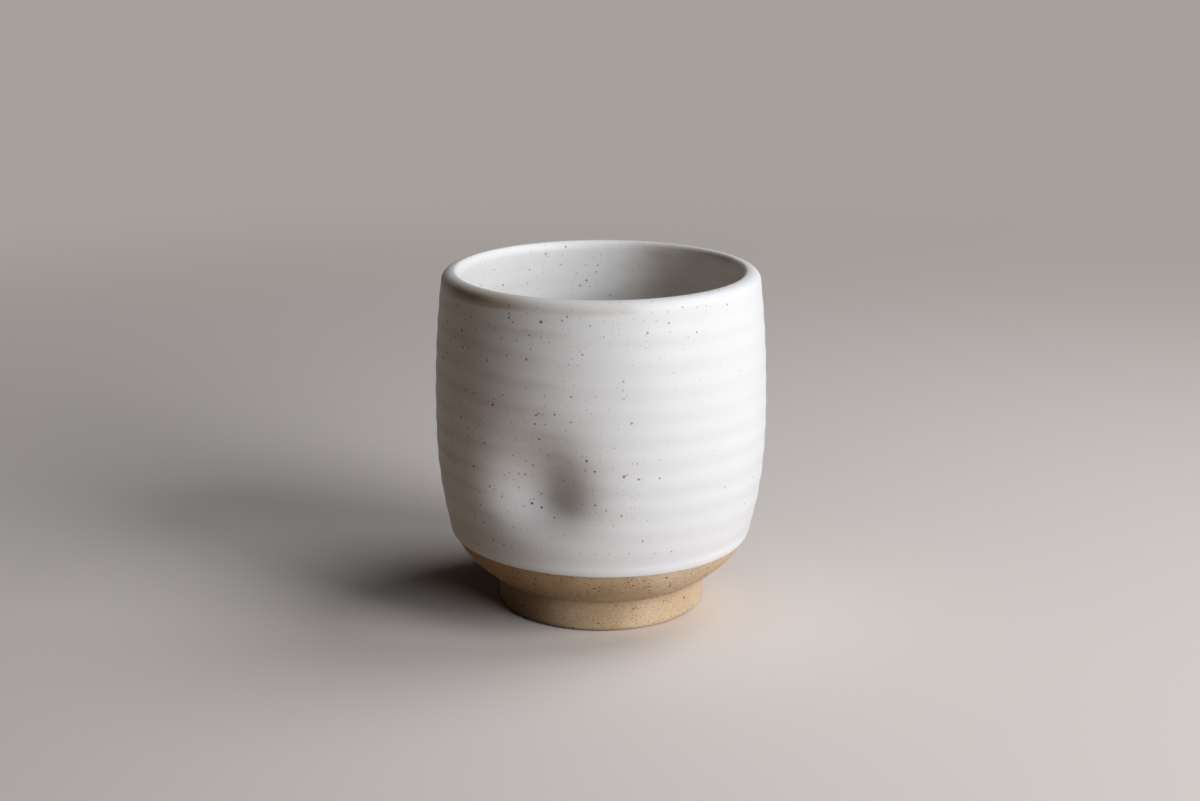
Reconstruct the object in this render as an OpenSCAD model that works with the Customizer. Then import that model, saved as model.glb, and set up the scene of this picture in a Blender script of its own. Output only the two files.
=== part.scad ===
// Yunomi: a wheel-thrown stoneware tea cup without a handle.
// A barrel-shaped clay bowl stands on a foot ring. A white coat of glaze covers the outside from
// the glaze line to the lip, and a second coat lines the inside. A thumb has pressed one dent
// through the whole wall, so that the inside swells where the outside is hollow.
// Millimetres, +Z up, the origin under the middle of the foot. The front faces -Y.

/* [Overall] */
// Height from the table to the crest of the lip
height = 85; // [78:1:95]
// Largest diameter, over the glaze
belly_d = 82; // [76:1:92]
// Height of the largest diameter
belly_z = 49; // [44:1:54]
// Diameter over the glaze where the lip starts to round over
rim_d = 78.1; // [74:0.1:80]
// How far the wall leans inwards at the rim, in degrees
rim_draw = 7.1; // [2:0.1:12]

/* [Heel] */
// Diameter over the glaze at the heel, where the wall turns under
heel_d = 75.2; // [70:0.1:78]
// Height of the heel
heel_z = 20; // [18.5:0.5:23]
// How far the wall flares outwards at the heel, in degrees
heel_flare = 15.6; // [8:0.1:22]
// How far the underside flares outwards where it leaves the foot, in degrees
join_flare = 59.5; // [50:0.5:64]

/* [Wall] */
// Thickness of the wall with both coats of glaze; the lip rounds it off
wall_t = 4.4; // [3.6:0.1:6]
// How far the crest of the lip lies inwards from the middle of the wall
lip_lean = 0.8; // [0:0.05:1.2]
// Height of the floor inside, over the glaze
floor_z = 12.8; // [11:0.1:15]
// Height of the cove between the floor and the wall
cove_h = 12; // [8:0.5:16]
// Width of the cove between the floor and the wall
cove_w = 15; // [10:0.5:20]

/* [Glaze] */
// Thickness of one coat of glaze
glaze_t = 0.45; // [0.35:0.05:0.8]
// Height of the glaze line, below which the clay is bare
glaze_line_z = 18.4; // [16:0.1:18.4]

/* [Throwing rings] */
// Distance from one throwing ring to the next
ring_pitch = 5.85; // [4.5:0.05:9]
// How far a ring stands out from the mean wall
ring_rise = 0.06; // [0:0.01:0.2]
// Height of the crest of one ring, from which the others are counted
ring_z = 47.8; // [40:0.1:60]

/* [Foot ring] */
// Diameter of the foot
foot_d = 51.4; // [46:0.1:54]
// Height of the foot, from the table to the underside of the bowl
foot_h = 8; // [6:0.1:9]
// Width of the foot ring at its top
foot_w = 6.4; // [5:0.1:8]
// How far the foot flares at its top, in a fillet under the bowl
foot_flare = 0.9; // [0:0.05:1.4]
// How far the inside of the foot ring opens out towards the table
foot_draft = 0.6; // [0:0.1:1]
// Radius of the rounded lower edges of the foot
foot_edge_r = 1.2; // [0.6:0.1:1.5]

/* [Thumb dent] */
// Depth of the dent
dent_depth = 6.4; // [2:0.1:7]
// Height of the middle of the dent
dent_z = 37.5; // [37:0.5:46]
// Angle of the dent from the front, negative to the left
dent_angle = -22; // [-180:0.5:180]
// Spread of the dent on its gentle left side, as the standard deviation of a bell
dent_left = 9.1; // [6:0.1:10]
// Spread of the dent on its steep right side
dent_right = 7.7; // [6:0.1:10]
// Spread of the dent on its gentle upper side
dent_up = 8.7; // [6:0.1:10]
// Spread of the dent on its steep lower side
dent_down = 4.9; // [4:0.1:6.4]

/* [Hidden] */
$fn = 128;

glaze_colour = [0.93, 0.92, 0.90];
clay_colour = [0.78, 0.62, 0.44];

// Steps along the curves of the profile
wall_step = 1;
inner_step = 3;
lip_steps = 16;
cove_steps = 12;
edge_steps = 6;
fillet_steps = 10;

// The dent's patch of the wall: its grid, its reach each way from the middle in spreads, and how far
// it reaches outwards.
// Its rim stands off the wall by dent_skim, so that the dent fades into the wall at a slight angle.
dent_columns = 24;
dent_rows = 24;
dent_reach = 2.9;
dent_clear = 3;
dent_skim = 0.15;

// The lip rounds over to its crest, in a wide curve outside and a tight one inside.
lip_r = wall_t / 2;
lip_z = height - lip_r;
crest_r = rim_d / 2 - lip_r - lip_lean;
cove_top_z = floor_z + cove_h;
join_r = foot_d / 2 + foot_flare;

// Heights along the outside, bare and glazed. Clay and glaze share them, so that they meet exactly.
bare_heights = steps(foot_h, glaze_line_z, wall_step);
glazed_heights = steps(glaze_line_z, lip_z, wall_step);

// A smooth curve of radius over height, from one station [height, radius, slope] to the next.
function curve(z, low, high) =
    let (span = high[0] - low[0], t = (z - low[0]) / span)
    low[1] * (1 + 2 * t) * (1 - t) ^ 2
        + low[2] * span * t * (1 - t) ^ 2
        + high[1] * t ^ 2 * (3 - 2 * t)
        + high[2] * span * t ^ 2 * (t - 1);

// The clay's outside: from the foot's join round the heel to the belly, and in again to the rim.
join_station = [foot_h, join_r, tan(join_flare)];
heel_station = [heel_z, heel_d / 2 - glaze_t, tan(heel_flare)];
belly_station = [belly_z, belly_d / 2 - glaze_t, 0];
rim_station = [lip_z, rim_d / 2 - glaze_t, -tan(rim_draw)];

function smooth_r(z) =
    z < heel_z ? curve(z, join_station, heel_station)
    : z < belly_z ? curve(z, heel_station, belly_station)
    : curve(z, belly_station, rim_station);

// Throwing rings swell and fade between the heel and the rim.
function ring(z) =
    z <= heel_z || z >= lip_z ? 0
    : let (fade = sin(180 * (z - heel_z) / (lip_z - heel_z)))
      ring_rise * fade * cos(360 * (z - ring_z) / ring_pitch);

function clay_r(z) = smooth_r(z) + ring(z);
function glazed_r(z) = clay_r(z) + glaze_t;

// The hollow, over the glaze at grow 0 and at the clay below it at grow glaze_t.
function cove(z, grow) =
    z >= cove_top_z ? 0
    : cove_w * (1 - sqrt(max(0, 1 - ((cove_top_z - z) / (cove_h + grow)) ^ 2)));
function hollow_r(z, grow) = smooth_r(z) + glaze_t - wall_t + grow - cove(z, grow);

// Even heights from one height up to, but not at, another.
function steps(from, to, step) =
    let (count = max(1, round((to - from) / step)))
    [for (i = [0:count - 1]) from + (to - from) * i / count];

function arc(middle, r, from, to, count) =
    [for (i = [0:count])
        let (a = from + (to - from) * i / count)
        middle + r * [cos(a), sin(a)]];

function lip(r, from, to) =
    let (count = round(lip_steps * abs(to - from) / 180))
    [for (i = [0:count])
        let (a = from + (to - from) * i / count, wide = a < 90 ? r + lip_lean : r - lip_lean)
        [crest_r + wide * cos(a), lip_z + r * sin(a)]];

// The hollow's outline, from the lip down the wall and round the cove to the floor.
function hollow_outline(grow) = concat(
    [for (z = reversed(steps(cove_top_z, lip_z, inner_step))) [hollow_r(z, grow), z]],
    [for (i = [1:cove_steps])
        let (z = cove_top_z - (cove_h + grow) * sin(90 * i / cove_steps))
        [hollow_r(z, grow), z]],
    [[0, floor_z - grow]]);

function reversed(list) = [for (i = [len(list) - 1:-1:0]) list[i]];

// How far the thumb has pressed the wall in, at an angle from the dent's middle and a height.
function pressed(angle, z) =
    let (
        along = belly_d / 2 * angle * PI / 180,
        above = z - dent_z,
        wide = along / (along < 0 ? dent_left : dent_right),
        tall = above / (above < 0 ? dent_down : dent_up),
        bell = exp(-(wide ^ 2 + tall ^ 2) / 2)
    )
    (dent_depth + dent_skim) * bell - dent_skim;

// A patch of the wall round the dent, between two radii given as functions of height. Its inner
// face is pressed in by the thumb.
module dent_patch(inner_r, outer_r) {
    degrees = 180 / PI / (belly_d / 2);
    angles = [for (i = [0:dent_columns])
        dent_reach * degrees * (-dent_left + (dent_left + dent_right) * i / dent_columns)];
    heights = [for (i = [0:dent_rows])
        dent_z + dent_reach * (-dent_down + (dent_down + dent_up) * i / dent_rows)];
    wide = len(angles);
    layer = wide * len(heights);
    function spot(angle, z, r) =
        let (a = angle + dent_angle) [r * sin(a), -r * cos(a), z];
    points = concat(
        [for (z = heights, a = angles) spot(a, z, inner_r(z) - pressed(a, z))],
        [for (z = heights, a = angles) spot(a, z, outer_r(z))]);
    rim = concat(
        [for (i = [0:wide - 1]) i],
        [for (j = [1:dent_rows]) j * wide + wide - 1],
        [for (i = [wide - 2:-1:0]) dent_rows * wide + i],
        [for (j = [dent_rows - 1:-1:1]) j * wide]);
    faces = concat(
        [for (j = [0:dent_rows - 1], i = [0:wide - 2])
            let (p = j * wide + i)
            each [[p, p + 1, p + wide + 1], [p, p + wide + 1, p + wide]]],
        [for (j = [0:dent_rows - 1], i = [0:wide - 2])
            let (p = layer + j * wide + i)
            each [[p, p + wide + 1, p + 1], [p, p + wide, p + wide + 1]]],
        [for (k = [0:len(rim) - 1])
            let (p = rim[k], q = rim[(k + 1) % len(rim)])
            each [[p, p + layer, q + layer], [p, q + layer, q]]]);
    polyhedron(points, faces);
}

// A layer of the wall with the dent pressed through it. The layer's outline is turned on the
// wheel; outside_r and inside_r are its two faces beside the dent.
module pressed_layer(outline, outside_r, inside_r) {
    difference() {
        union() {
            rotate_extrude() polygon(outline);
            dent_patch(inside_r, function (z) (inside_r(z) + outside_r(z)) / 2);
        }
        dent_patch(outside_r, function (z) outside_r(z) + dent_clear);
    }
}

// The thrown bowl: underside, heel, wall, lip and floor in one piece of clay.
module clay_bowl() {
    outline = concat(
        [[0, foot_h]],
        [for (z = concat(bare_heights, glazed_heights)) [clay_r(z), z]],
        lip(lip_r - glaze_t, 0, 180),
        hollow_outline(glaze_t));
    color(clay_colour)
        pressed_layer(outline, function (z) clay_r(z), function (z) hollow_r(z, glaze_t));
}

// The white coat outside, from the glaze line to the crest of the lip.
module outer_glaze() {
    outline = concat(
        [for (z = glazed_heights) [glazed_r(z), z]],
        lip(lip_r, 0, 90),
        lip(lip_r - glaze_t, 90, 0),
        [for (z = reversed(glazed_heights)) [clay_r(z), z]]);
    color(glaze_colour)
        pressed_layer(outline, function (z) glazed_r(z), function (z) clay_r(z));
}

// The white coat inside, from the crest of the lip to the floor.
module liner_glaze() {
    outline = concat(
        lip(lip_r, 90, 180),
        hollow_outline(0),
        reversed(hollow_outline(glaze_t)),
        lip(lip_r - glaze_t, 180, 90));
    color(glaze_colour)
        pressed_layer(outline, function (z) hollow_r(z, glaze_t), function (z) hollow_r(z, 0));
}

// The foot: a turned ring of clay under the bowl, with rounded lower edges. Its outside is upright
// and sweeps out in a fillet to the underside.
module foot_ring() {
    inner_r = join_r - foot_w;
    outline = concat(
        arc([foot_d / 2 - foot_edge_r, foot_edge_r], foot_edge_r, -90, 0, edge_steps),
        [for (i = [1:fillet_steps])
            let (t = 1 - (1 - i / fillet_steps) ^ 2)
            [foot_d / 2 + foot_flare * t ^ 6, foot_edge_r + (foot_h - foot_edge_r) * t]],
        [[inner_r, foot_h]],
        arc([inner_r + foot_draft + foot_edge_r, foot_edge_r], foot_edge_r, 180, 270, edge_steps));
    color(clay_colour) rotate_extrude() polygon(outline);
}

clay_bowl();
foot_ring();
outer_glaze();
liner_glaze();
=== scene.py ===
"""Dresses a handleless tea cup, white glaze over speckled stoneware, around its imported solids.

The bowl, the foot and both coats of glaze come off one geometry tree, the wheel. It spins a profile
round the cup's axis, lays throwing rings on it and presses the thumb dent through every layer.
Lengths are in metres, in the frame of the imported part: +Z up, the front towards -Y.
"""

import logging
import math
from dataclasses import dataclass
from enum import Enum
from typing import Any, Optional, Union

import bmesh
import bpy
from mathutils import Euler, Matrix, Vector

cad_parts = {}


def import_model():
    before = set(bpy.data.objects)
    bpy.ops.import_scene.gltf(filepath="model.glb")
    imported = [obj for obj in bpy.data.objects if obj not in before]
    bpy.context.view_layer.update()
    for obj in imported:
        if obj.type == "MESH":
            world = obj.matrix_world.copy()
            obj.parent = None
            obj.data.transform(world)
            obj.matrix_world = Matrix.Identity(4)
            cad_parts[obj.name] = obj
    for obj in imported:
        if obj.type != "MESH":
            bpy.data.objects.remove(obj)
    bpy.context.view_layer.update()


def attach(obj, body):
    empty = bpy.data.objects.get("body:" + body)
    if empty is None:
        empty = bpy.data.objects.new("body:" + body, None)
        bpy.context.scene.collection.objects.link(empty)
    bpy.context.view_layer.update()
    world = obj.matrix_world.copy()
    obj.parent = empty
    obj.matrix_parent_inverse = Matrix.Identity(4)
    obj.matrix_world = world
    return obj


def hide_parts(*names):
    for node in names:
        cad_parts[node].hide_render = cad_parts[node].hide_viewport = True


LOG = logging.getLogger("tea_cup")
MM = 0.001
BODY = "root"
FULL_COAT = 0.5
NOISE_MIDDLE = 0.5

Colour = tuple[float, float, float]
Span = tuple[float, float]

BACKDROP: Colour = (0.385, 0.35, 0.333)


class Wire:
    """One output of a node, on which sums are written as Python expressions."""

    def __init__(self, graph: "Graph", socket: bpy.types.NodeSocket) -> None:
        """Keeps the graph that new Math nodes go to, and the socket that they read."""
        self.graph = graph
        self.socket = socket

    def other(self, name: str) -> "Wire":
        """Another output of the same node, by name."""
        return Wire(self.graph, self.graph.socket(self.socket.node.outputs, name))

    def __add__(self, other: "Value") -> "Wire":
        """This plus other."""
        return self.graph.math("ADD", self, other)

    def __radd__(self, other: "Value") -> "Wire":
        """Other plus this."""
        return self.graph.math("ADD", other, self)

    def __sub__(self, other: "Value") -> "Wire":
        """This minus other."""
        return self.graph.math("SUBTRACT", self, other)

    def __rsub__(self, other: "Value") -> "Wire":
        """Other minus this."""
        return self.graph.math("SUBTRACT", other, self)

    def __mul__(self, other: "Value") -> "Wire":
        """This times other."""
        return self.graph.math("MULTIPLY", self, other)

    def __rmul__(self, other: "Value") -> "Wire":
        """Other times this."""
        return self.graph.math("MULTIPLY", other, self)

    def __truediv__(self, other: "Value") -> "Wire":
        """This divided by other."""
        return self.graph.math("DIVIDE", self, other)

    def __rtruediv__(self, other: "Value") -> "Wire":
        """Other divided by this."""
        return self.graph.math("DIVIDE", other, self)

    def __lt__(self, other: "Value") -> "Wire":
        """1 where this is less than other, and 0 elsewhere."""
        return self.graph.math("LESS_THAN", self, other)

    def __gt__(self, other: "Value") -> "Wire":
        """1 where this is more than other, and 0 elsewhere."""
        return self.graph.math("GREATER_THAN", self, other)


Value = Union[Wire, float, int]


class Graph:
    """A shader or geometry tree under construction."""

    def __init__(self, tree: bpy.types.NodeTree) -> None:
        """Keeps the tree and clears what Blender put in it."""
        self.tree = tree
        tree.nodes.clear()

    @staticmethod
    def socket(sockets: Any, name: str) -> bpy.types.NodeSocket:
        """The socket of that name that the node's settings leave in use.

        Args:
            sockets: a node's inputs or outputs.
            name: the socket's name, or its identifier where names repeat.

        Returns:
            The socket.
        """
        return next(s for s in sockets if s.enabled and name in (s.name, s.identifier))

    def node(
        self,
        kind: str,
        out: Optional[str] = None,
        settings: Optional[dict[str, Any]] = None,
        sockets: Optional[dict[str, Any]] = None,
    ) -> Optional[Wire]:
        """Adds one node.

        Args:
            kind: the node's type.
            out: the output to return, or None for a node that ends the tree.
            settings: the node's own properties, which are set first.
            sockets: a value or a wire for each input, by name.

        Returns:
            The output asked for.
        """
        node = self.tree.nodes.new(kind)
        for key, value in (settings or {}).items():
            setattr(node, key, value)
        for name, value in (sockets or {}).items():
            socket = self.socket(node.inputs, name)
            if isinstance(value, Wire):
                self.tree.links.new(value.socket, socket)
            else:
                socket.default_value = value
        return Wire(self, self.socket(node.outputs, out)) if out else None

    def math(self, operation: str, *terms: Value) -> Wire:
        """Adds a Math node.

        Args:
            operation: the node's operation.
            terms: its one or two terms.

        Returns:
            The result.
        """
        sockets = dict(zip(("Value", "Value_001"), terms))
        return self.node("ShaderNodeMath", "Value", {"operation": operation}, sockets)

    def clamp(self, value: Wire) -> Wire:
        """Value held between 0 and 1."""
        return self.node("ShaderNodeClamp", "Result", None, {"Value": value})

    def fade(self, value: Wire, low: Value, high: Value) -> Wire:
        """A soft step over value.

        Args:
            value: what is compared.
            low: where the step is 0.
            high: where the step is 1.

        Returns:
            0 to 1, flat at both ends.
        """
        return self.node(
            "ShaderNodeMapRange",
            "Result",
            {"interpolation_type": "SMOOTHSTEP"},
            {"Value": value, "From Min": low, "From Max": high},
        )

    def mix(self, factor: Value, one: Union[Wire, Colour], two: Union[Wire, Colour]) -> Wire:
        """Mixes two colours.

        Args:
            factor: 0 gives the first and 1 the second.
            one: the first colour.
            two: the second colour.

        Returns:
            The mixed colour.
        """
        colours = {
            name: colour if isinstance(colour, Wire) else (*colour, 1.0)
            for name, colour in (("A", one), ("B", two))
        }
        return self.node(
            "ShaderNodeMix",
            "Result",
            {"data_type": "RGBA"},
            {"Factor": factor, **colours},
        )

    def seen(self) -> Wire:
        """1 for what the camera sees, also in a reflection, and 0 for light thrown on others."""
        path = self.node("ShaderNodeLightPath", "Is Camera Ray")
        return self.clamp(path + path.other("Is Glossy Ray") + path.other("Is Transmission Ray"))


@dataclass(frozen=True)
class GrainSize:
    """One size of grain in the glaze or the clay, with its chances.

    A cell is the mean distance between grains. The share of cells that hold a grain is few, and
    many more where grains crowd.
    """

    cell: float
    radius: float
    soft: float
    few: float
    many: float = 0.0
    smallest: float = 0.45
    faintest: float = 0.4

    def share(self, crowd: Value) -> Value:
        """The share of cells that hold a grain, where grains crowd by 0 to 1."""
        return self.few + self.many * crowd


class Finish:
    """What all finishes share: a Principled material that varies over the surface."""

    def new_graph(self, name: str) -> tuple[bpy.types.Material, Graph]:
        """Makes an empty node material.

        Args:
            name: the material's name.

        Returns:
            The material and its graph.
        """
        material = bpy.data.materials.new(name)
        material.use_nodes = True
        return material, Graph(material.node_tree)

    def places(self, graph: Graph) -> Wire:
        """The object coordinates, in metres."""
        return graph.node("ShaderNodeTexCoord", "Object")

    def attribute(self, graph: Graph, name: str) -> Wire:
        """A number that the wheel left on the mesh."""
        return graph.node("ShaderNodeAttribute", "Fac", {"attribute_name": name})

    def noise(self, graph: Graph, places: Wire, size: float, detail: float = 3.0) -> Wire:
        """Soft noise.

        Args:
            graph: the material's graph.
            places: the coordinates.
            size: the size of a blotch, in metres.
            detail: octaves of finer noise.

        Returns:
            About 0.2 to 0.8.
        """
        return graph.node(
            "ShaderNodeTexNoise",
            "Fac",
            None,
            {"Vector": places, "Scale": 1.0 / size, "Detail": detail, "Roughness": 0.5},
        )

    def grains(self, graph: Graph, places: Wire, size: GrainSize, share: Value) -> Wire:
        """Round grains, one in each cell of the clay or the glaze, cut by the surface.

        Args:
            graph: the material's graph.
            places: the coordinates.
            size: how large the grains are.
            share: the share of cells that hold a grain.

        Returns:
            0 beside the grains, and up to 1 in them.
        """
        cells = graph.node(
            "ShaderNodeTexVoronoi", "Distance", None, {"Vector": places, "Scale": 1.0 / size.cell}
        )
        chance = graph.node(
            "ShaderNodeSeparateColor", "Red", None, {"Color": cells.other("Color")}
        )
        reach = size.radius / size.cell * (size.smallest + (1.0 - size.smallest) * chance)
        inside = graph.fade(cells, reach, reach * (1.0 - size.soft))
        strength = size.faintest + (1.0 - size.faintest) * chance.other("Blue")
        return inside * (chance.other("Green") < share) * strength

    def surface(
        self,
        graph: Graph,
        colour: Wire,
        roughness: Wire,
        height: Wire,
        deep: float,
        specular: float,
    ) -> None:
        """Ends the graph in a Principled surface.

        Args:
            graph: the material's graph.
            colour: the colour over the surface.
            roughness: the roughness over the surface.
            height: the fine relief, 0 to 1.
            deep: the depth of that relief, in metres.
            specular: the specular level.
        """
        normal = graph.node(
            "ShaderNodeBump", "Normal", None, {"Height": height, "Distance": deep, "Strength": 1.0}
        )
        shader = graph.node(
            "ShaderNodeBsdfPrincipled",
            "BSDF",
            None,
            {
                "Base Color": colour,
                "Roughness": roughness,
                "Normal": normal,
                "Specular IOR Level": specular,
            },
        )
        graph.node("ShaderNodeOutputMaterial", None, None, {"Surface": shader})


@dataclass(frozen=True)
class GlazeFinish(Finish):
    """Satin white glaze: warm where it is thin, cool where it pools, with iron specks."""

    white: Colour = (0.797, 0.803, 0.808)
    thin: Colour = (0.56, 0.475, 0.40)
    # Partly real wear and partly painted shade: dark brown where the lip is rubbed, set to the
    # lip's left side.
    rubbed_and_shaded: Colour = (0.27, 0.208, 0.155)
    pool: Colour = (0.87, 0.88, 0.888)
    rust: Colour = (0.27, 0.165, 0.11)
    iron: Colour = (0.06, 0.036, 0.026)
    thin_to_white: Span = (0.08, 0.46)
    thin_to_rubbed_and_shaded: Span = (0.04, -0.24)
    white_to_pool: Span = (0.62, 0.92)
    cloud_size: float = 9 * MM
    cloud_share: float = 0.18
    band_size: float = 20 * MM
    band_squeeze: tuple[float, float, float] = (1.0, 1.0, 5.0)
    band_share: float = 0.24
    iron_share: float = 1.0
    iron_lean: float = 9.0
    iron_rise: float = 4.5
    iron_from: float = 52 * MM
    iron_thin: float = 0.8
    iron_patch: float = 26 * MM
    iron_crowd: Span = (0.32, 0.62)
    pool_cover: float = 0.85
    faint: GrainSize = GrainSize(1.05 * MM, 0.3 * MM, 0.6, 0.05, 0.7)
    faint_tint: float = 0.5
    brown: GrainSize = GrainSize(1.75 * MM, 0.42 * MM, 0.5, 0.02, 0.6)
    brown_tint: float = 0.9
    brown_pit: float = 0.25
    black: GrainSize = GrainSize(2.7 * MM, 0.46 * MM, 0.35, 0.01, 0.55)
    black_pit: float = 0.5
    black_rough: float = 0.2
    skin_size: float = 1.5 * MM
    skin_rise: float = 0.7
    roughness: float = 0.46
    cloud_rough: float = 0.16
    relief: float = 0.03 * MM
    specular: float = 0.4

    def material(self, name: str) -> bpy.types.Material:
        """Builds the glaze.

        Args:
            name: the material's name.

        Returns:
            The material.
        """
        material, graph = self.new_graph(name)
        places = self.places(graph)
        coat = self.attribute(graph, "coat")
        clouds = self.noise(graph, places, self.cloud_size) - NOISE_MIDDLE
        squeezed = graph.node(
            "ShaderNodeVectorMath",
            "Vector",
            {"operation": "MULTIPLY"},
            {"Vector": places, "Vector_001": self.band_squeeze},
        )
        bands = self.noise(graph, squeezed, self.band_size) - NOISE_MIDDLE
        body = coat + self.cloud_share * clouds + self.band_share * bands
        colour = graph.mix(graph.fade(body, *self.thin_to_white), self.thin, self.white)
        # Where the coat is lowest the glaze goes rubbed brown, in part painted shade on the lip's
        # left.
        colour = graph.mix(graph.fade(body, *self.thin_to_rubbed_and_shaded), colour, self.rubbed_and_shaded)
        pooled = graph.fade(coat, *self.white_to_pool)
        colour = graph.mix(pooled, colour, self.pool)
        crowd = self.crowd(graph, places, coat)
        share = self.iron_share * (1.0 - self.pool_cover * pooled)
        faint = self.grains(graph, places, self.faint, share * self.faint.share(crowd))
        brown = self.grains(graph, places, self.brown, share * self.brown.share(crowd))
        black = self.grains(graph, places, self.black, share * self.black.share(crowd * crowd))
        colour = graph.mix(self.faint_tint * faint, colour, self.rust)
        colour = graph.mix(self.brown_tint * brown, colour, self.rust)
        colour = graph.mix(black, colour, self.iron)
        skin = self.noise(graph, places, self.skin_size, detail=2.0)
        roughness = self.roughness + self.cloud_rough * clouds + self.black_rough * black
        height = self.skin_rise * skin - self.black_pit * black - self.brown_pit * brown
        self.surface(graph, colour, roughness, height, self.relief, self.specular)
        return material

    def crowd(self, graph: Graph, places: Wire, coat: Wire) -> Wire:
        """Where the iron crowds: in patches, to the left, up the wall and in a thin coat.

        Args:
            graph: the material's graph.
            places: the coordinates.
            coat: how full the coat is.

        Returns:
            0 where specks are few, and 1 where they crowd.
        """
        patches = self.noise(graph, places, self.iron_patch, detail=1.0)
        side = graph.node("ShaderNodeSeparateXYZ", "X", None, {"Vector": places})
        risen = self.iron_rise * (side.other("Z") - self.iron_from)
        lean = patches - self.iron_lean * side + risen
        return graph.fade(lean + self.iron_thin * (FULL_COAT - coat), *self.iron_crowd)


@dataclass(frozen=True)
class ClayFinish(Finish):
    """Bare sandy stoneware with dark grains and small pits, toasted to the left, part painted
    shade.
    """

    sand: Colour = (0.69, 0.53, 0.355)
    toast_and_shade: Colour = (0.43, 0.28, 0.145)
    pale: Colour = (0.79, 0.66, 0.50)
    grain: Colour = (0.13, 0.08, 0.045)
    pit: Colour = (0.04, 0.025, 0.015)
    cloud_size: float = 14 * MM
    # Partly real flashing and partly painted shade: the clay darkens to the toast colour towards
    # the left.
    flame_and_shade_lean: float = 14.0
    toasted_and_shaded_at: Span = (0.12, 0.88)
    sand_size: float = 0.42 * MM
    pale_at: Span = (0.55, 0.78)
    pale_share: float = 0.75
    dark_at: Span = (0.46, 0.25)
    dark_share: float = 0.5
    fine: GrainSize = GrainSize(0.62 * MM, 0.21 * MM, 0.4, 0.9)
    fine_pit: float = 0.5
    coarse: GrainSize = GrainSize(1.3 * MM, 0.37 * MM, 0.3, 0.0, 1.0)
    coarse_share: float = 0.5
    coarse_pit: float = 1.2
    roughness: float = 0.85
    sand_rough: float = 0.1
    relief: float = 0.07 * MM
    specular: float = 0.35

    def material(self, name: str) -> bpy.types.Material:
        """Builds the clay.

        Args:
            name: the material's name.

        Returns:
            The material.
        """
        material, graph = self.new_graph(name)
        places = self.places(graph)
        clouds = self.noise(graph, places, self.cloud_size)
        sand = self.noise(graph, places, self.sand_size)
        side = graph.node("ShaderNodeSeparateXYZ", "X", None, {"Vector": places})
        # Painted shade in part: toasted darker towards the left.
        toasted_and_shaded = graph.fade(clouds - self.flame_and_shade_lean * side, *self.toasted_and_shaded_at)
        colour = graph.mix(toasted_and_shaded, self.sand, self.toast_and_shade)
        colour = graph.mix(self.pale_share * graph.fade(sand, *self.pale_at), colour, self.pale)
        colour = graph.mix(self.dark_share * graph.fade(sand, *self.dark_at), colour, self.toast_and_shade)
        fine = self.grains(graph, places, self.fine, self.fine.share(1.0))
        coarse = self.grains(graph, places, self.coarse, self.coarse.share(self.coarse_share))
        colour = graph.mix(fine, colour, self.grain)
        colour = graph.mix(coarse, colour, self.pit)
        height = sand - self.fine_pit * fine - self.coarse_pit * coarse
        roughness = self.roughness + self.sand_rough * (sand - NOISE_MIDDLE)
        self.surface(graph, colour, roughness, height, self.relief, self.specular)
        return material


@dataclass(frozen=True)
class FloorFinish(Finish):
    """Plain pale studio floor, which fades into the background."""

    pale: Colour = (0.825, 0.765, 0.725)
    # What the floor throws back, not what it shows: dimmer to the left, and near black close to the
    # foot on the left, as painted shade on the cup's left and its foot.
    bounce: Colour = (0.54, 0.465, 0.41)
    painted_dim: Colour = (0.525, 0.377, 0.27)
    painted_dim_to_bounce: Span = (-0.3, 0.6)
    bounce_lean: float = 0.6
    shade: Colour = (0.06, 0.036, 0.02)
    shade_close: Span = (66 * MM, 36 * MM)
    shade_side: Span = (0.9, 0.2)
    far: Span = (0.13, 0.62)
    roughness: float = 0.9
    specular: float = 0.2

    def material(self, name: str) -> bpy.types.Material:
        """Builds the floor's material.

        Args:
            name: the material's name.

        Returns:
            The material, pale where it is seen and darker in the light that it throws back, which
            paints shade on the cup's left and its foot.
        """
        material, graph = self.new_graph(name)
        seen = graph.seen()
        places = self.places(graph)
        away = graph.node(
            "ShaderNodeVectorMath", "Value", {"operation": "LENGTH"}, {"Vector": places}
        )
        side = graph.node("ShaderNodeSeparateXYZ", "X", None, {"Vector": places})
        front = (side - self.bounce_lean * side.other("Y")) / away
        # Painted shade: the light thrown back dims to the left and goes near black close to the
        # foot.
        thrown = graph.mix(graph.fade(front, *self.painted_dim_to_bounce), self.painted_dim, self.bounce)
        shaded = graph.fade(away, *self.shade_close) * graph.fade(front, *self.shade_side)
        thrown = graph.mix(shaded, thrown, self.shade)
        shader = graph.node(
            "ShaderNodeBsdfPrincipled",
            "BSDF",
            None,
            {
                "Base Color": graph.mix(seen, thrown, self.pale),
                "Roughness": self.roughness,
                "Specular IOR Level": self.specular,
            },
        )
        backdrop = graph.node(
            "ShaderNodeEmission", "Emission", None, {"Color": (*BACKDROP, 1.0), "Strength": 1.0}
        )
        fade = seen * graph.fade(away, *self.far)
        shaders = {"Fac": fade, "Shader": shader, "Shader_001": backdrop}
        mixed = graph.node("ShaderNodeMixShader", "Shader", None, shaders)
        graph.node("ShaderNodeOutputMaterial", None, None, {"Surface": mixed})
        return material


@dataclass
class Spot:
    """One point of a profile, and how the wheel treats the row that it turns into."""

    r: float
    z: float
    ringed: float = 0.0
    pressed: float = 0.0
    creep: float = 0.0
    coat: float = FULL_COAT
    thin: float = 0.0
    # Painted shade inside the cup: how far the coat here is made thinner and darker on the right.
    painted_inside_shade: float = 0.0


MARKS = ("ringed", "pressed", "creep", "coat", "thin", "painted_inside_shade")


@dataclass(frozen=True)
class Station:
    """A height at which the clay's outside is given: its radius and its slope."""

    z: float
    r: float
    slope: float


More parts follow.
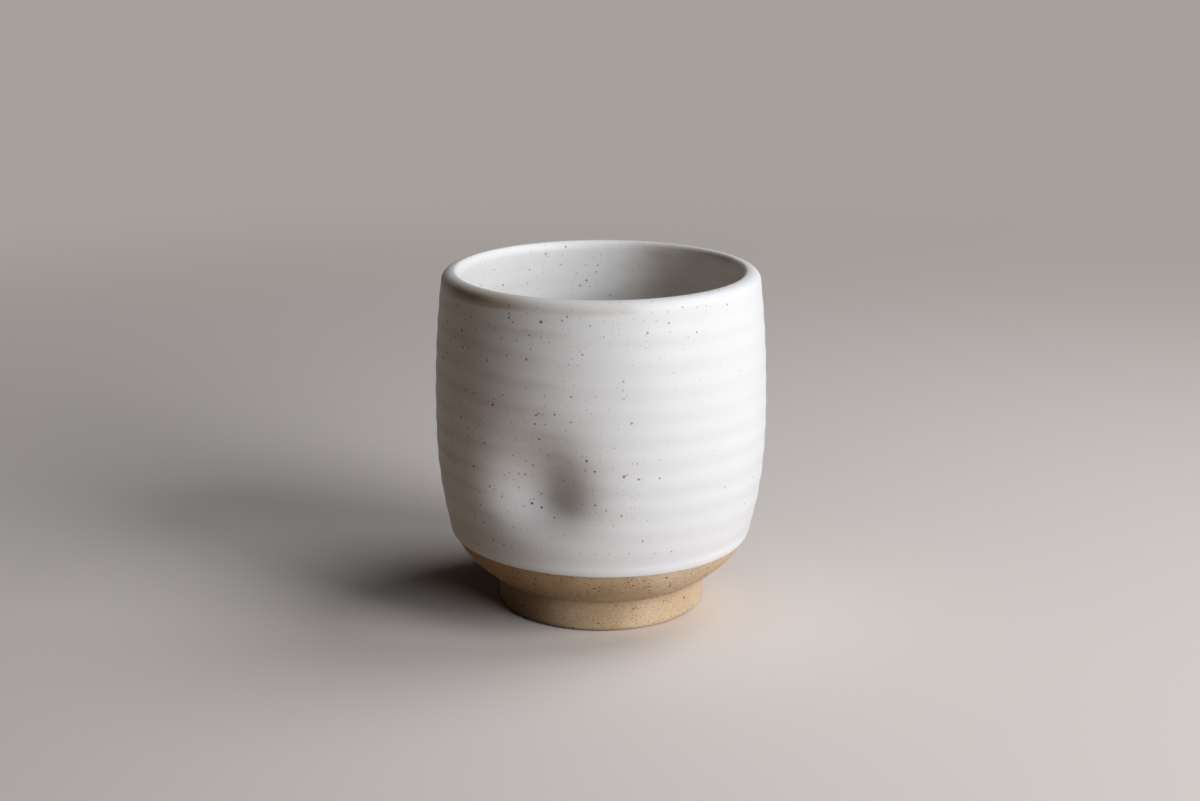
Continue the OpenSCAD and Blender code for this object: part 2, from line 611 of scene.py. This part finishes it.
@dataclass(frozen=True)
class CupShape:
    """The cup's sizes, and the curves that follow from them."""

    height: float = 85 * MM
    belly_r: float = 41 * MM
    belly_z: float = 49 * MM
    rim_r: float = 39.05 * MM
    rim_draw: float = 7.1
    heel_r: float = 37.6 * MM
    heel_z: float = 20 * MM
    heel_flare: float = 15.6
    join_flare: float = 59.5
    wall: float = 4.4 * MM
    floor_z: float = 12.8 * MM
    cove_h: float = 12 * MM
    cove_w: float = 15 * MM
    glaze: float = 0.45 * MM
    glaze_line_z: float = 18.4 * MM
    lip_lean: float = 0.8 * MM
    thin_up: float = 0.6 * MM
    thin_tall: float = 1.6 * MM
    # Turn over which the painted shade inside grows from the crest.
    painted_inside_shade_turn: float = 60.0
    ring_inside: float = 0.6
    ring_fade: float = 6 * MM
    foot_r: float = 25.7 * MM
    foot_h: float = 8.0 * MM
    foot_w: float = 6.4 * MM
    foot_flare: float = 0.9 * MM
    foot_draft: float = 0.6 * MM
    foot_edge: float = 1.2 * MM

    @property
    def lip(self) -> float:
        """Height of the lip's rounding, half of the wall."""
        return self.wall / 2

    @property
    def lip_z(self) -> float:
        """Height at which the lip starts to round over."""
        return self.height - self.lip

    @property
    def crest_r(self) -> float:
        """Radius of the lip's crest, which leans inwards from the middle of the wall."""
        return self.rim_r - self.lip - self.lip_lean

    @property
    def join_r(self) -> float:
        """Radius at which the underside meets the foot."""
        return self.foot_r + self.foot_flare

    def stations(self) -> list[Station]:
        """The clay's outside, from the foot to the rim."""
        return [
            Station(self.foot_h, self.join_r, math.tan(math.radians(self.join_flare))),
            Station(self.heel_z, self.heel_r - self.glaze, math.tan(math.radians(self.heel_flare))),
            Station(self.belly_z, self.belly_r - self.glaze, 0.0),
            Station(self.lip_z, self.rim_r - self.glaze, -math.tan(math.radians(self.rim_draw))),
        ]

    def clay_r(self, z: float) -> float:
        """Radius of the clay's outside.

        Args:
            z: the height.

        Returns:
            The radius on the smooth curve through the stations.
        """
        stations = self.stations()
        low, high = next(
            (a, b) for a, b in zip(stations, stations[1:]) if z <= b.z or b is stations[-1]
        )
        span = high.z - low.z
        t = (z - low.z) / span
        return (
            low.r * (1 + 2 * t) * (1 - t) ** 2
            + low.slope * span * t * (1 - t) ** 2
            + high.r * t**2 * (3 - 2 * t)
            + high.slope * span * t**2 * (t - 1)
        )

    def hollow(self, grow: float, wall_rows: int, cove_rows: int, floor_rows: int) -> list[Spot]:
        """The hollow's outline, from below the lip down the wall and over the floor to the axis.

        Args:
            grow: how far it lies below the finished surface.
            wall_rows: rows down the wall.
            cove_rows: rows round the cove.
            floor_rows: rows over the floor.

        Returns:
            The outline's points.
        """
        top = self.floor_z + self.cove_h
        spots = []
        for i in range(1, wall_rows + 1):
            z = self.lip_z + (top - self.lip_z) * i / wall_rows
            ringed = self.ring_inside * min(1.0, (self.lip_z - z) / self.ring_fade)
            r = self.clay_r(z) + self.glaze - self.wall + grow
            # The inside wall takes the painted shade in full; the cove fades it out.
            spots.append(Spot(r, z, ringed, 1.0, painted_inside_shade=1.0))
        for i in range(1, cove_rows + 1):
            turn = math.pi / 2 * i / cove_rows
            z = top - (self.cove_h + grow) * math.sin(turn)
            r = self.clay_r(z) + self.glaze - self.wall + grow - self.cove_w * (1 - math.cos(turn))
            fade = 1 - i / cove_rows
            spots.append(Spot(r, z, self.ring_inside * fade, fade, painted_inside_shade=fade))
        edge = spots[-1]
        for i in range(1, floor_rows + 1):
            spots.append(Spot(edge.r * (1 - i / floor_rows), edge.z))
        return spots

    def round_lip(self, r: float, start: float, end: float, rows: int) -> list[Spot]:
        """A curve over the lip, wide outside the crest and tight inside it.

        Args:
            r: the curve's height.
            start: its first angle, in degrees from outwards.
            end: its last angle.
            rows: rows along it.

        Returns:
            The curve's points, with the coat thin over the outside of the lip.
        """
        spots = []
        for i in range(rows + 1):
            turn = start + (end - start) * i / rows
            spots.append(self.lip_outside(r, turn) if turn < 90 else self.lip_inside(r, turn))
        return spots

    def lip_outside(self, r: float, turn: float) -> Spot:
        """A point of the lip outside its crest.

        Args:
            r: the curve's height.
            turn: its angle, in degrees from outwards.

        Returns:
            The point, on a curve that leaves the wall at the wall's own slope.
        """
        wide = r + self.lip_lean
        steep = math.tan(math.radians(self.rim_draw)) * r / wide
        low = math.asin(steep / (1 - steep))
        angle = low + (math.pi / 2 - low) * turn / 90
        z = self.lip_z + r * (math.sin(angle) - math.sin(low)) / (1 - math.sin(low))
        spot = Spot(self.crest_r + wide * math.cos(angle) / math.cos(low), z)
        spot.thin = self.thinness(z)
        return spot

    def lip_inside(self, r: float, turn: float) -> Spot:
        """A point of the lip inside its crest.

        Args:
            r: the curve's height.
            turn: its angle, in degrees from outwards.

        Returns:
            The point, on a round curve, with painted shade growing down the inside.
        """
        angle = math.radians(turn)
        wide = r - self.lip_lean
        spot = Spot(self.crest_r + wide * math.cos(angle), self.lip_z + r * math.sin(angle))
        spot.painted_inside_shade = min(1.0, (turn - 90) / self.painted_inside_shade_turn)
        return spot

    def thinness(self, z: float) -> float:
        """How thin the coat runs at a height, most of all on the shoulder of the lip."""
        return math.exp(-(((z - self.lip_z - self.thin_up) / self.thin_tall) ** 4))


class Layer(Enum):
    """What left the rings on a layer: throwing, or turning with a tool."""

    THROWN = "thrown"
    TURNED = "turned"


@dataclass(frozen=True)
class Wheel:
    """The geometry tree that turns a profile, rings it and presses the dent through it."""

    dent_depth: float = 6.4 * MM
    dent_z: float = 37.5 * MM
    dent_angle: float = -22.0
    dent_left: float = 9.1 * MM
    dent_right: float = 7.7 * MM
    dent_up: float = 8.7 * MM
    dent_down: float = 4.9 * MM
    dent_round: float = 41 * MM
    throw_pitch: float = 5.85 * MM
    throw_rise: float = 0.06 * MM
    throw_from: float = 47.8 * MM
    ring_sink: float = 0.35
    ring_drift: float = 3.0
    ring_least: float = 0.2
    ring_swell: float = 1.6
    swell_shift: float = 7.0
    wander_round: float = 0.45
    wander_up: float = 0.34
    # The ring crests' coat runs thin to the left only; partly real wear and partly painted shade on
    # the shaded side, less inside the dent.
    ring_wear_and_shade: float = 0.083
    ring_wear_and_shade_side: Span = (0.1, -0.35)
    dent_shelter: float = 0.4
    # The lip's shoulder runs thin towards the left and is rubbed to brown further left, lighter
    # again at the far end; partly real wear and partly painted shade on the lip's shaded side.
    lip_wear: float = 0.16
    lip_wear_side: Span = (0.35, 0.12)
    lip_rub_and_shade: float = 0.5
    rub_and_shade_side: Span = (-0.35, -0.8)
    rub_and_shade_end: Span = (-0.86, -0.97)
    rub_and_shade_end_share: float = 0.7
    # Painted shade inside: the liner's coat is made thin, so warm and darker, on the right, where
    # the inside wall faces away from the light.
    painted_inside_shade_strength: float = 0.34
    painted_inside_shade_side: Span = (-0.25, 0.75)
    turn_pitch: float = 1.1 * MM
    turn_rise: float = 0.012 * MM
    creep_slope: float = 0.56
    dip_tilt: float = 0.65 * MM
    dip_turn: float = 0.15
    join_distance: float = 0.002 * MM
    crease: float = 50.0

    def tree(self) -> bpy.types.GeometryNodeTree:
        """Builds the geometry tree.

        Returns:
            The tree, whose inputs are named for the sizes that they take.
        """
        tree = bpy.data.node_groups.new("wheel", "GeometryNodeTree")
        graph = Graph(tree)
        face = tree.interface
        face.new_socket("Geometry", in_out="INPUT", socket_type="NodeSocketGeometry")
        for name in ("Columns", "Rows"):
            face.new_socket(name, in_out="INPUT", socket_type="NodeSocketInt")
        for name in self.inputs(Layer.THROWN):
            face.new_socket(name, in_out="INPUT", socket_type="NodeSocketFloat")
        face.new_socket("Material", in_out="INPUT", socket_type="NodeSocketMaterial")
        face.new_socket("Geometry", in_out="OUTPUT", socket_type="NodeSocketGeometry")
        given = graph.node("NodeGroupInput", "Geometry")
        mesh = graph.node(
            "GeometryNodeMeshGrid",
            "Mesh",
            None,
            {
                "Size X": 1.0,
                "Size Y": 1.0,
                "Vertices X": given.other("Columns"),
                "Vertices Y": given.other("Rows"),
            },
        )
        place = graph.node("GeometryNodeInputPosition", "Position")
        across = graph.node("ShaderNodeSeparateXYZ", "X", None, {"Vector": place})
        angle = across * math.tau
        row = graph.math("ROUND", (across.other("Y") + 0.5) * (given.other("Rows") - 1))
        point = self._sample(graph, given, row, "FLOAT_VECTOR", place)
        radius = graph.node("ShaderNodeSeparateXYZ", "X", None, {"Vector": point})
        height = radius.other("Z")
        marks = {
            name: self._sample(graph, given, row, "FLOAT", self._named(graph, name))
            for name in MARKS
        }
        dip = graph.math("SINE", angle + self.dip_turn)
        creep = marks["creep"] * given.other("Dip Tilt") * dip
        height = height - creep
        ring = self._rings(graph, given, angle, height)
        dent = self._dent(graph, given, angle, height)
        radius = (
            radius
            - creep * given.other("Creep Slope")
            + given.other("Ring Rise") * (ring - self.ring_sink) * marks["ringed"]
            - given.other("Dent Depth") * dent * marks["pressed"]
        )
        # The coat attribute also carries painted shade: thin rings and a rubbed lip on the left,
        # and the inside's right.
        coat = self._coat(graph, angle, ring, dent, marks)
        spot = graph.node(
            "ShaderNodeCombineXYZ",
            "Vector",
            None,
            {
                "X": radius * graph.math("SINE", angle),
                "Y": -1.0 * radius * graph.math("COSINE", angle),
                "Z": height,
            },
        )
        bend = graph.node("GeometryNodeInputMeshEdgeAngle", "Unsigned Angle")
        sharp = {"Selection": bend > math.radians(self.crease), "Shade Smooth": False}
        stored = {"data_type": "FLOAT", "domain": "POINT"}
        steps = (
            ("StoreNamedAttribute", stored, {"Name": "coat", "Value": coat}),
            ("SetPosition", None, {"Position": spot}),
            ("MergeByDistance", None, {"Distance": self.join_distance}),
            ("SetShadeSmooth", {"domain": "FACE"}, {}),
            ("SetShadeSmooth", {"domain": "EDGE"}, sharp),
            ("RealizeInstances", None, {}),
            ("SetMaterial", None, {"Material": given.other("Material")}),
        )
        for kind, settings, sockets in steps:
            sockets = {"Geometry": mesh, **sockets}
            mesh = graph.node(f"GeometryNode{kind}", "Geometry", settings, sockets)
        graph.node("NodeGroupOutput", None, None, {"Geometry": mesh})
        return tree

    @staticmethod
    def _named(graph: Graph, name: str) -> Wire:
        """A mark on the profile's points."""
        return graph.node(
            "GeometryNodeInputNamedAttribute", "Attribute", {"data_type": "FLOAT"}, {"Name": name}
        )

    @staticmethod
    def _sample(graph: Graph, given: Wire, row: Wire, kind: str, value: Wire) -> Wire:
        """Reads the profile at a row.

        Args:
            graph: the tree's graph.
            given: the tree's input.
            row: the row's number.
            kind: the value's data type.
            value: what is read on the profile.

        Returns:
            The value at that row.
        """
        return graph.node(
            "GeometryNodeSampleIndex",
            "Value",
            {"data_type": kind, "domain": "POINT"},
            {"Geometry": given, "Value": value, "Index": row},
        )

    def _coat(
        self, graph: Graph, angle: Wire, ring: Wire, dent: Wire, marks: dict[str, Wire]
    ) -> Wire:
        """How full the coat of glaze is.

        Args:
            graph: the tree's graph.
            angle: the angle from the front.
            ring: the rings' wave.
            dent: 1 in the middle of the dent, and 0 away from it.
            marks: the profile's marks.

        Returns:
            FULL_COAT in a full coat, more where it pools, and less on the rings and the lip to the
            left, partly thin glaze and partly painted shade, and less on the right of the inside as
            painted shade.
        """
        side = graph.math("SINE", angle)
        # Partly real wear and partly painted shade: the rings' coat thins only on the left.
        sheltered = 1.0 - self.dent_shelter * dent
        worn_and_shaded_ring = self.ring_wear_and_shade * graph.fade(side, *self.ring_wear_and_shade_side) * sheltered
        # Partly real wear and partly painted shade: the lip's shoulder goes rubbed brown on the
        # left.
        kept = self.rub_and_shade_end_share * graph.fade(side, *self.rub_and_shade_end)
        rubbed_and_shaded = graph.fade(side, *self.rub_and_shade_side) * (1.0 - kept)
        worn_and_shaded_lip = self.lip_wear * graph.fade(side, *self.lip_wear_side) + self.lip_rub_and_shade * rubbed_and_shaded
        # Painted shade: the inside is darkened to the right as a thin coat.
        painted_inside_shade = self.painted_inside_shade_strength * graph.fade(side, *self.painted_inside_shade_side)
        return (
            marks["coat"]
            - worn_and_shaded_ring * (1.0 + ring) * marks["ringed"]
            - worn_and_shaded_lip * marks["thin"]
            - painted_inside_shade * marks["painted_inside_shade"]
        )

    def _rings(self, graph: Graph, given: Wire, angle: Wire, height: Wire) -> Wire:
        """The rings' wave, one pitch lower with each turn to the right.

        Args:
            graph: the tree's graph.
            given: the tree's input.
            angle: the angle from the front.
            height: the height.

        Returns:
            About -1 in a groove to 1 on a ring.
        """
        turns = (height - given.other("Ring From")) / given.other("Ring Pitch")
        drift = self._wander(graph, angle, turns, 0.0)
        swell = self._wander(graph, angle, turns, self.swell_shift)
        phase = math.tau * turns + angle + self.ring_drift * (drift - NOISE_MIDDLE)
        return graph.math("COSINE", phase) * (self.ring_least + self.ring_swell * swell)

    def _wander(self, graph: Graph, angle: Wire, turns: Wire, shift: float) -> Wire:
        """Slow noise round the cup and up it.

        Args:
            graph: the tree's graph.
            angle: the angle from the front.
            turns: the height, in rings.
            shift: where in the noise to start.

        Returns:
            About 0.2 to 0.8, without a seam at the back.
        """
        place = graph.node(
            "ShaderNodeCombineXYZ",
            "Vector",
            None,
            {
                "X": self.wander_round * graph.math("COSINE", angle) + shift,
                "Y": self.wander_round * graph.math("SINE", angle),
                "Z": self.wander_up * turns,
            },
        )
        return graph.node(
            "ShaderNodeTexNoise", "Fac", None, {"Vector": place, "Scale": 1.0, "Detail": 1.0}
        )

    @staticmethod
    def _dent(graph: Graph, given: Wire, angle: Wire, height: Wire) -> Wire:
        """The thumb dent as a bell over angle and height.

        Args:
            graph: the tree's graph.
            given: the tree's input.
            angle: the angle from the front.
            height: the height.

        Returns:
            1 in the middle of the dent, and 0 away from it.
        """
        along = (angle - given.other("Dent Angle")) * given.other("Dent Round")
        left = along < 0.0
        spread = left * given.other("Dent Left") + (1.0 - left) * given.other("Dent Right")
        wide = along / spread
        above = height - given.other("Dent Height")
        low = above < 0.0
        tall = above / (low * given.other("Dent Down") + (1.0 - low) * given.other("Dent Up"))
        return graph.math("EXPONENT", -0.5 * (wide * wide + tall * tall))

    def inputs(self, layer: Layer) -> dict[str, float]:
        """The tree's sizes for one layer of the cup.

        Args:
            layer: whether the layer shows throwing rings or turning lines.

        Returns:
            A value for each named input.
        """
        thrown = layer is Layer.THROWN
        return {
            "Dent Depth": self.dent_depth,
            "Dent Height": self.dent_z,
            "Dent Angle": math.radians(self.dent_angle),
            "Dent Left": self.dent_left,
            "Dent Right": self.dent_right,
            "Dent Up": self.dent_up,
            "Dent Down": self.dent_down,
            "Dent Round": self.dent_round,
            "Ring Pitch": self.throw_pitch if thrown else self.turn_pitch,
            "Ring Rise": self.throw_rise if thrown else self.turn_rise,
            "Ring From": self.throw_from,
            "Creep Slope": self.creep_slope,
            "Dip Tilt": self.dip_tilt,
        }

    def turn(
        self,
        tree: bpy.types.GeometryNodeTree,
        name: str,
        spots: list[Spot],
        columns: int,
        layer: Layer,
        material: bpy.types.Material,
    ) -> bpy.types.Object:
        """Turns one profile into a plain mesh.

        Args:
            tree: the wheel's geometry tree.
            name: the piece's name.
            spots: the profile, closed on itself or on the axis.
            columns: columns round the cup.
            layer: which rings it carries.
            material: its finish.

        Returns:
            The piece, at the origin.
        """
        profile = bpy.data.meshes.new(name)
        profile.from_pydata(
            [(s.r, 0.0, s.z) for s in spots], [(i, i + 1) for i in range(len(spots) - 1)], []
        )
        for mark in MARKS:
            values = profile.attributes.new(mark, "FLOAT", "POINT")
            values.data.foreach_set("value", [getattr(s, mark) for s in spots])
        piece = bpy.data.objects.new(name, profile)
        bpy.context.scene.collection.objects.link(piece)
        modifier = piece.modifiers.new("wheel", "NODES")
        modifier.node_group = tree
        given = {
            "Columns": columns + 1,
            "Rows": len(spots),
            "Material": material,
            **self.inputs(layer),
        }
        for item in tree.interface.items_tree:
            if item.in_out == "INPUT" and item.name in given:
                modifier[item.identifier] = given[item.name]
        depsgraph = bpy.context.evaluated_depsgraph_get()
        mesh = bpy.data.meshes.new_from_object(
            piece.evaluated_get(depsgraph), preserve_all_data_layers=True, depsgraph=depsgraph
        )
        piece.modifiers.clear()
        piece.data = mesh
        mesh.name = name
        bpy.data.meshes.remove(profile)
        self._face_outwards(mesh)
        return piece

    @staticmethod
    def _face_outwards(mesh: bpy.types.Mesh) -> None:
        """Turns every face outwards.

        Args:
            mesh: a closed mesh.
        """
        shell = bmesh.new()
        shell.from_mesh(mesh)
        bmesh.ops.recalc_face_normals(shell, faces=shell.faces)
        shell.to_mesh(mesh)
        shell.free()


@dataclass
class Piece:
    """What all pieces of the cup share."""

    shape: CupShape
    wheel: Wheel
    tree: bpy.types.GeometryNodeTree
    name: str = ""
    node: str = ""
    slot: str = ""
    columns: int = 256

    def profile(self) -> list[Spot]:
        """The piece's profile, which each kind of piece draws."""
        raise NotImplementedError

    def dress(self, layer: Layer, finish: Union[GlazeFinish, ClayFinish]) -> None:
        """Turns the piece, gives it its finish and joins it to the frame.

        Args:
            layer: which rings the piece carries.
            finish: its finish.
        """
        material = finish.material(f"{self.name}_finish")
        piece = self.wheel.turn(
            self.tree, self.name, self.profile(), self.columns, layer, material
        )
        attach(piece, BODY)
        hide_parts(self.node)
        LOG.info("%s: %d faces in place of %s", self.name, len(piece.data.polygons), self.node)


@dataclass
class ThrownBowl(Piece):
    """The clay: underside, heel, wall, lip and floor."""

    name: str = "thrown_bowl"
    node: str = "clay_bowl"
    slot: str = "bare_clay"
    under_rows: int = 12
    under_rings: float = 0.6
    bare_rows: int = 70
    bare_over: float = 1.6 * MM
    wall_rows: int = 44
    lip_rows: int = 16
    hollow_rows: tuple[int, int, int] = (30, 14, 8)

    def profile(self) -> list[Spot]:
        """From the middle of the underside round the outside and the inside to the floor.

        Returns:
            The profile's points.
        """
        shape = self.shape
        spots = []
        for i in range(self.under_rows):
            ringed = self.under_rings if i > 1 else 0.0
            spots.append(Spot(shape.join_r * i / self.under_rows, shape.foot_h, ringed))
        line = shape.glaze_line_z + self.bare_over
        for i in range(self.bare_rows):
            z = shape.foot_h + (line - shape.foot_h) * i / self.bare_rows
            spots.append(Spot(shape.clay_r(z), z, 1.0, 1.0))
        for i in range(self.wall_rows):
            z = line + (shape.lip_z - line) * i / self.wall_rows
            spots.append(Spot(shape.clay_r(z), z, 0.0, 1.0))
        spots += shape.round_lip(shape.lip - shape.glaze, 0, 180, self.lip_rows)
        spots += shape.hollow(shape.glaze, *self.hollow_rows)
        for spot in spots[self.under_rows + self.bare_rows :]:
            spot.ringed = 0.0
        return spots


@dataclass
class TurnedFoot(Piece):
    """The foot ring."""

    name: str = "turned_foot"
    node: str = "foot_ring"
    slot: str = "foot_clay"
    edge_rows: int = 10
    wall_rows: int = 30
    flare_power: int = 6

    def edge(self, middle: float, start: float, t: float, ringed: float) -> Spot:
        """A point of a rounded lower edge.

        Args:
            middle: the radius at which the rounding is centred.
            start: its first angle, in degrees from outwards.
            t: how far along it the point lies, 0 to 1.
            ringed: how much of the turning lines the point carries.

        Returns:
            The point.
        """
        r = self.shape.foot_edge
        turn = math.radians(start + 90 * t)
        return Spot(middle + r * math.cos(turn), r + r * math.sin(turn), ringed)

    def profile(self) -> list[Spot]:
        """From the table up the outside, over the join and down the inside.

        Returns:
            The profile's points.
        """
        shape = self.shape
        inner = shape.join_r - shape.foot_w
        edge = shape.foot_edge
        rise = shape.foot_h - edge
        rounds = [i / self.edge_rows for i in range(self.edge_rows + 1)]
        rises = [i / self.wall_rows for i in range(1, self.wall_rows + 1)]
        spots = [self.edge(shape.foot_r - edge, -90, t, t) for t in rounds]
        for t in rises:
            r = shape.foot_r + shape.foot_flare * t**self.flare_power
            spots.append(Spot(r, edge + rise * t, 1.0 if t < 1 else 0.0))
        spots.append(Spot(inner, shape.foot_h))
        spots += [Spot(inner + shape.foot_draft * t, shape.foot_h - rise * t, 1.0) for t in rises]
        middle = inner + shape.foot_draft + edge
        spots += [self.edge(middle, 180, t, 1 - t) for t in rounds[1:]]
        return spots + spots[:1]


@dataclass
class DippedCoat(Piece):
    """The glaze outside, with a rounded and thicker edge at the glaze line."""

    name: str = "dipped_coat"
    node: str = "outer_glaze"
    slot: str = "white_glaze"
    columns: int = 360
    nose: float = 0.5 * MM
    nose_rows: int = 12
    bead: float = 0.35
    bead_at: float = 1.5 * MM
    bead_tall: float = 1.3 * MM
    wall_rows: int = 124
    lip_rows: int = 30
    lip_back_rows: int = 8
    back_rows: int = 26
    creep_tall: float = 9 * MM
    pool: float = 0.5
    pool_tall: float = 2.9 * MM
    ring_start: float = 2 * MM
    ring_fade: float = 6 * MM
    ring_stop: float = 5 * MM

    def thickness(self, up: float) -> float:
        """The coat's thickness.

        Args:
            up: the height above the glaze line.

        Returns:
            The thickness, which swells a little above its rounded edge.
        """
        swell = 1 + self.bead * math.exp(-(((up - self.bead_at) / self.bead_tall) ** 2))
        nose = math.sqrt(max(0.0, 1 - (1 - up / self.nose) ** 2)) if up < self.nose else 1.0
        return self.shape.glaze * swell * nose

    def spot(self, z: float, thick: float) -> Spot:
        """A point of the coat.

        Args:
            z: its height.
            thick: how far it lies over the clay.

        Returns:
            The point, with the coat pooled towards the glaze line and thin under the lip.
        """
        shape = self.shape
        up = z - shape.glaze_line_z
        below_lip = (shape.lip_z - z) / self.ring_stop
        pool = self.pool * math.exp(-((up / self.pool_tall) ** 4))
        ringed = min(1.0, max(0.0, up - self.ring_start) / self.ring_fade, max(0.0, below_lip))
        creep = max(0.0, 1 - up / self.creep_tall) ** 2
        coat = FULL_COAT + pool
        return Spot(shape.clay_r(z) + thick, z, ringed, 1.0, creep, coat, shape.thinness(z))

    def profile(self) -> list[Spot]:
        """From the glaze line up the outside to the crest, and back down the clay.

        Returns:
            The profile's points.
        """
        shape = self.shape
        line = shape.glaze_line_z
        spots = []
        for i in range(self.nose_rows):
            up = self.nose * (1 - math.cos(math.pi / 2 * i / self.nose_rows))
            spots.append(self.spot(line + up, self.thickness(up)))
        start = line + self.nose
        for i in range(self.wall_rows):
            z = start + (shape.lip_z - start) * i / self.wall_rows
            spots.append(self.spot(z, self.thickness(z - line)))
        spots += shape.round_lip(shape.lip, 0, 90, self.lip_rows)
        spots += shape.round_lip(shape.lip - shape.glaze, 90, 0, self.lip_back_rows)
        for i in range(1, self.back_rows + 1):
            z = shape.lip_z + (line - shape.lip_z) * i / self.back_rows
            spots.append(self.spot(z, 0.0))
        spots[-1] = spots[0]
        return spots


@dataclass
class PouredLiner(Piece):
    """The glaze inside, from the crest of the lip to the floor."""

    name: str = "poured_liner"
    node: str = "liner_glaze"
    slot: str = "liner_glaze"
    columns: int = 320
    lip_rows: int = 30
    hollow_rows: tuple[int, int, int] = (70, 34, 14)
    back_rows: tuple[int, int, int] = (26, 12, 6)
    lip_back_rows: int = 8

    def profile(self) -> list[Spot]:
        """From the crest down the inside to the axis, and back below it.

        Returns:
            The profile's points.
        """
        shape = self.shape
        spots = shape.round_lip(shape.lip, 90, 180, self.lip_rows)
        spots += shape.hollow(0.0, *self.hollow_rows)
        spots += list(reversed(shape.hollow(shape.glaze, *self.back_rows)))
        spots += shape.round_lip(shape.lip - shape.glaze, 180, 90, self.lip_back_rows)
        return spots + spots[:1]


@dataclass(frozen=True)
class Lamp:
    """One round soft lamp, turned towards the cup."""

    name: str
    azimuth: float
    elevation: float
    distance: float
    across: float
    level: float
    tint: Colour = (0.976, 0.986, 1.012)

    def hang(self, aim: Vector) -> None:
        """Hangs the lamp, which then lights a face turned towards it at its level.

        Args:
            aim: the point that it shines on.
        """
        light = bpy.data.lights.new(self.name, "AREA")
        light.shape = "DISK"
        light.size = self.across
        light.color = self.tint
        light.energy = self.level * math.pi**2 * (self.distance**2 + self.across**2 / 4)
        lamp = bpy.data.objects.new(self.name, light)
        turn = Euler(
            (math.radians(90 - self.elevation), 0.0, math.radians(self.azimuth)), "XYZ"
        )
        lamp.rotation_euler = turn
        lamp.location = aim + turn.to_matrix() @ Vector((0.0, 0.0, self.distance))
        bpy.context.scene.collection.objects.link(lamp)


@dataclass
class Studio:
    """Floor, light and camera."""

    floor_half: float = 6.0
    aim: tuple[float, float, float] = (0.0, 0.0, 45 * MM)
    eye: tuple[float, float, float] = (-0.25 * MM, -459 * MM, 180.2 * MM)
    eye_pitch: float = 15.68
    focal_px: float = 1913.0
    image_width: int = 1200
    sensor: float = 36.0
    clip: Span = (0.01, 50.0)
    lamps: tuple[Lamp, ...] = (
        Lamp("front_light", 45.0, 12.0, 1.0, 0.5, 0.445),
        Lamp("key_light", 60.0, 30.0, 1.0, 0.5, 0.468),
        Lamp("side_light", 110.0, 56.0, 1.0, 0.6, 0.318),
    )

    def lay_floor(self) -> None:
        """Lays the floor under the foot."""
        half = self.floor_half
        mesh = bpy.data.meshes.new("studio_floor")
        corners = [(-half, -half, 0), (half, -half, 0), (half, half, 0), (-half, half, 0)]
        mesh.from_pydata(corners, [], [(0, 1, 2, 3)])
        mesh.materials.append(FloorFinish().material("floor_finish"))
        floor = bpy.data.objects.new("studio_floor", mesh)
        bpy.context.scene.collection.objects.link(floor)

    def hang_background(self) -> None:
        """Hangs an even background, which is seen but throws no light."""
        world = bpy.data.worlds.new("studio_world")
        world.use_nodes = True
        graph = Graph(world.node_tree)
        shown = graph.node(
            "ShaderNodeBackground",
            "Background",
            None,
            {"Color": (*BACKDROP, 1.0), "Strength": graph.seen()},
        )
        graph.node("ShaderNodeOutputWorld", None, None, {"Surface": shown})
        bpy.context.scene.world = world

    def set_camera(self) -> None:
        """Sets the camera where the photograph was taken from."""
        lens = bpy.data.cameras.new("camera")
        lens.sensor_fit = "HORIZONTAL"
        lens.sensor_width = self.sensor
        lens.lens = self.focal_px / self.image_width * self.sensor
        lens.clip_start, lens.clip_end = self.clip
        camera = bpy.data.objects.new("camera", lens)
        camera.location = self.eye
        camera.rotation_euler = Euler((math.radians(90 - self.eye_pitch), 0.0, 0.0), "XYZ")
        bpy.context.scene.collection.objects.link(camera)
        bpy.context.scene.camera = camera

    def build(self) -> None:
        """Sets up the whole studio."""
        bpy.context.scene.view_settings.view_transform = "Standard"
        self.set_camera()
        self.lay_floor()
        for lamp in self.lamps:
            lamp.hang(Vector(self.aim))
        self.hang_background()


def main() -> None:
    """Builds the studio and the cup."""
    logging.basicConfig(level=logging.INFO, format="%(name)s: %(message)s")
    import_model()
    Studio().build()
    shape = CupShape()
    wheel = Wheel()
    tree = wheel.tree()
    glaze = GlazeFinish()
    liner = GlazeFinish(white=(0.86, 0.857, 0.85), iron_share=0.5, iron_lean=0.0, iron_rise=0.0)
    ThrownBowl(shape, wheel, tree).dress(Layer.TURNED, ClayFinish(coarse_share=0.8))
    TurnedFoot(shape, wheel, tree).dress(Layer.TURNED, ClayFinish(coarse_share=0.22))
    DippedCoat(shape, wheel, tree).dress(Layer.THROWN, glaze)
    PouredLiner(shape, wheel, tree).dress(Layer.THROWN, liner)


if __name__ == "__main__":
    main()
